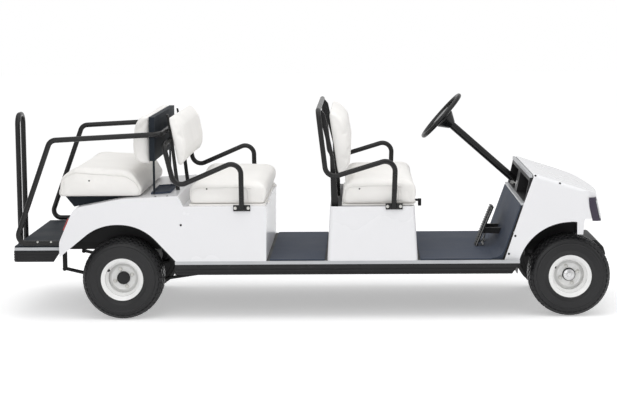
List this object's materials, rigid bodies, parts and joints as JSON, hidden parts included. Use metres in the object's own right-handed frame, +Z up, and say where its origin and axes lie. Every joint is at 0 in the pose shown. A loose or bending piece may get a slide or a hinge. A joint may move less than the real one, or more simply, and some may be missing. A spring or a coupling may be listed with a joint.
{
  "type": "golf cart",
  "caption": "Open six-seat electric golf cart with two forward benches, a rear-facing bench over a footboard, steered front wheels and lift-up seats.",
  "frame": {"origin": "on the floor, in the middle of the cart's length and width", "axes": "+X forward, +Y to the cart's left, +Z up"},
  "size_m": [3.4113, 1.2526, 1.2054],
  "materials": {
    "body_white": "gloss moulded panel",
    "frame_black": "black powder coat",
    "tube_black": "gloss black tube",
    "seat_vinyl": "off-white vinyl",
    "seat_board": "matt black",
    "mat_blue": "dark blue-grey rubber",
    "black_plastic": "grained black",
    "trim_grey": "satin light grey",
    "lamp_bezel": "dark violet-grey",
    "tail_lamp": "red lens",
    "tyre": "matt black",
    "rim_white": "white enamel",
    "axle_steel": "dark cast iron",
    "rod_steel": "plated steel",
    "battery_black": "matt black case"
  },
  "bodies": {
    "chassis": {"battery_pack": "battery_black", "chassis_frame": "frame_black", "dash": "black_plastic", "direction_lever": "black_plastic", "edge_trims": "trim_grey", "floor_mats": "mat_blue", "floor_pan": "frame_black", "footboard": "seat_board", "front_axle": "axle_steel", "front_backrest": "seat_vinyl", "front_bumper": "black_plastic", "front_cowl": "body_white", "front_seat_base": "body_white", "front_seat_frame": "tube_black", "grab_handle": "tube_black", "grab_rails": "tube_black", "headlamps": "lamp_bezel", "leaf_springs": "axle_steel", "middle_backrest": "seat_vinyl", "middle_seat_frame": "tube_black", "pedals": "black_plastic", "rear_axle": "axle_steel", "rear_back_board": "seat_board", "rear_backrest": "seat_vinyl", "rear_body": "body_white", "rear_bumper": "black_plastic", "rear_cushion": "seat_vinyl", "rear_seat_box": "seat_board", "rocker_panels": "black_plastic", "steering_column": "tube_black", "steering_gear": "axle_steel", "tail_lamps": "tail_lamp", "wheel_liners": "black_plastic"},
    "wheel_front_left": {"tyre_front_left": "tyre", "rim_front_left": "rim_white"},
    "wheel_front_right": {"tyre_front_right": "tyre", "rim_front_right": "rim_white"},
    "wheel_rear_left": {"tyre_rear_left": "tyre", "rim_rear_left": "rim_white"},
    "wheel_rear_right": {"tyre_rear_right": "tyre", "rim_rear_right": "rim_white"},
    "left_knuckle": {"knuckle_left": "axle_steel"},
    "right_knuckle": {"knuckle_right": "axle_steel"},
    "steering": {"steering_wheel": "tube_black"},
    "rack": {"tie_rods": "rod_steel"},
    "front_lid": {"front_seat_pan": "seat_board", "front_cushion": "seat_vinyl"},
    "middle_lid": {"middle_seat_pan": "seat_board", "middle_cushion": "seat_vinyl"}
  },
  "joints": [
    {"name": "front_left_spin", "type": "hinge", "parent": "left_knuckle", "child": "wheel_front_left", "pos_m": [1.4685, 0.438, 0.2285], "axis": [0, 1, 0], "continuous": true},
    {"name": "front_right_spin", "type": "hinge", "parent": "right_knuckle", "child": "wheel_front_right", "pos_m": [1.4685, -0.438, 0.2285], "axis": [0, 1, 0], "continuous": true},
    {"name": "rear_left_spin", "type": "hinge", "parent": "chassis", "child": "wheel_rear_left", "pos_m": [-1.0315, 0.489, 0.2285], "axis": [0, 1, 0], "continuous": true},
    {"name": "rear_right_spin", "type": "hinge", "parent": "chassis", "child": "wheel_rear_right", "pos_m": [-1.0315, -0.489, 0.2285], "axis": [0, 1, 0], "continuous": true},
    {"name": "steering_turn", "type": "hinge", "parent": "chassis", "child": "steering", "pos_m": [0.7885, 0.29, 1.073], "axis": [-0.749, 0, 0.6626], "range_deg": [-300, 300]},
    {"name": "left_knuckle_turn", "type": "hinge", "parent": "chassis", "child": "left_knuckle", "pos_m": [1.4685, 0.345, 0.2285], "axis": [0, 0, 1], "range_deg": [-25, 25]},
    {"name": "right_knuckle_turn", "type": "hinge", "parent": "chassis", "child": "right_knuckle", "pos_m": [1.4685, -0.345, 0.2285], "axis": [0, 0, 1], "range_deg": [-25, 25]},
    {"name": "rack_slide", "type": "slide", "parent": "chassis", "child": "rack", "axis": [0, 1, 0], "range_m": [-0.048, 0.048]},
    {"name": "front_lid_hinge", "type": "hinge", "parent": "chassis", "child": "front_lid", "pos_m": [0.6085, 0, 0.6393], "axis": [0, 1, 0], "range_deg": [0, 70]},
    {"name": "middle_lid_hinge", "type": "hinge", "parent": "chassis", "child": "middle_lid", "pos_m": [-0.2135, 0, 0.6433], "axis": [0, 1, 0], "range_deg": [0, 85]}
  ],
  "couplings": [
    {"joint": "left_knuckle_turn", "follows": "steering_turn", "ratio": 0.083333},
    {"joint": "right_knuckle_turn", "follows": "steering_turn", "ratio": 0.083333},
    {"joint": "rack_slide", "follows": "steering_turn", "m_per_rad": 0.0091667}
  ]
}
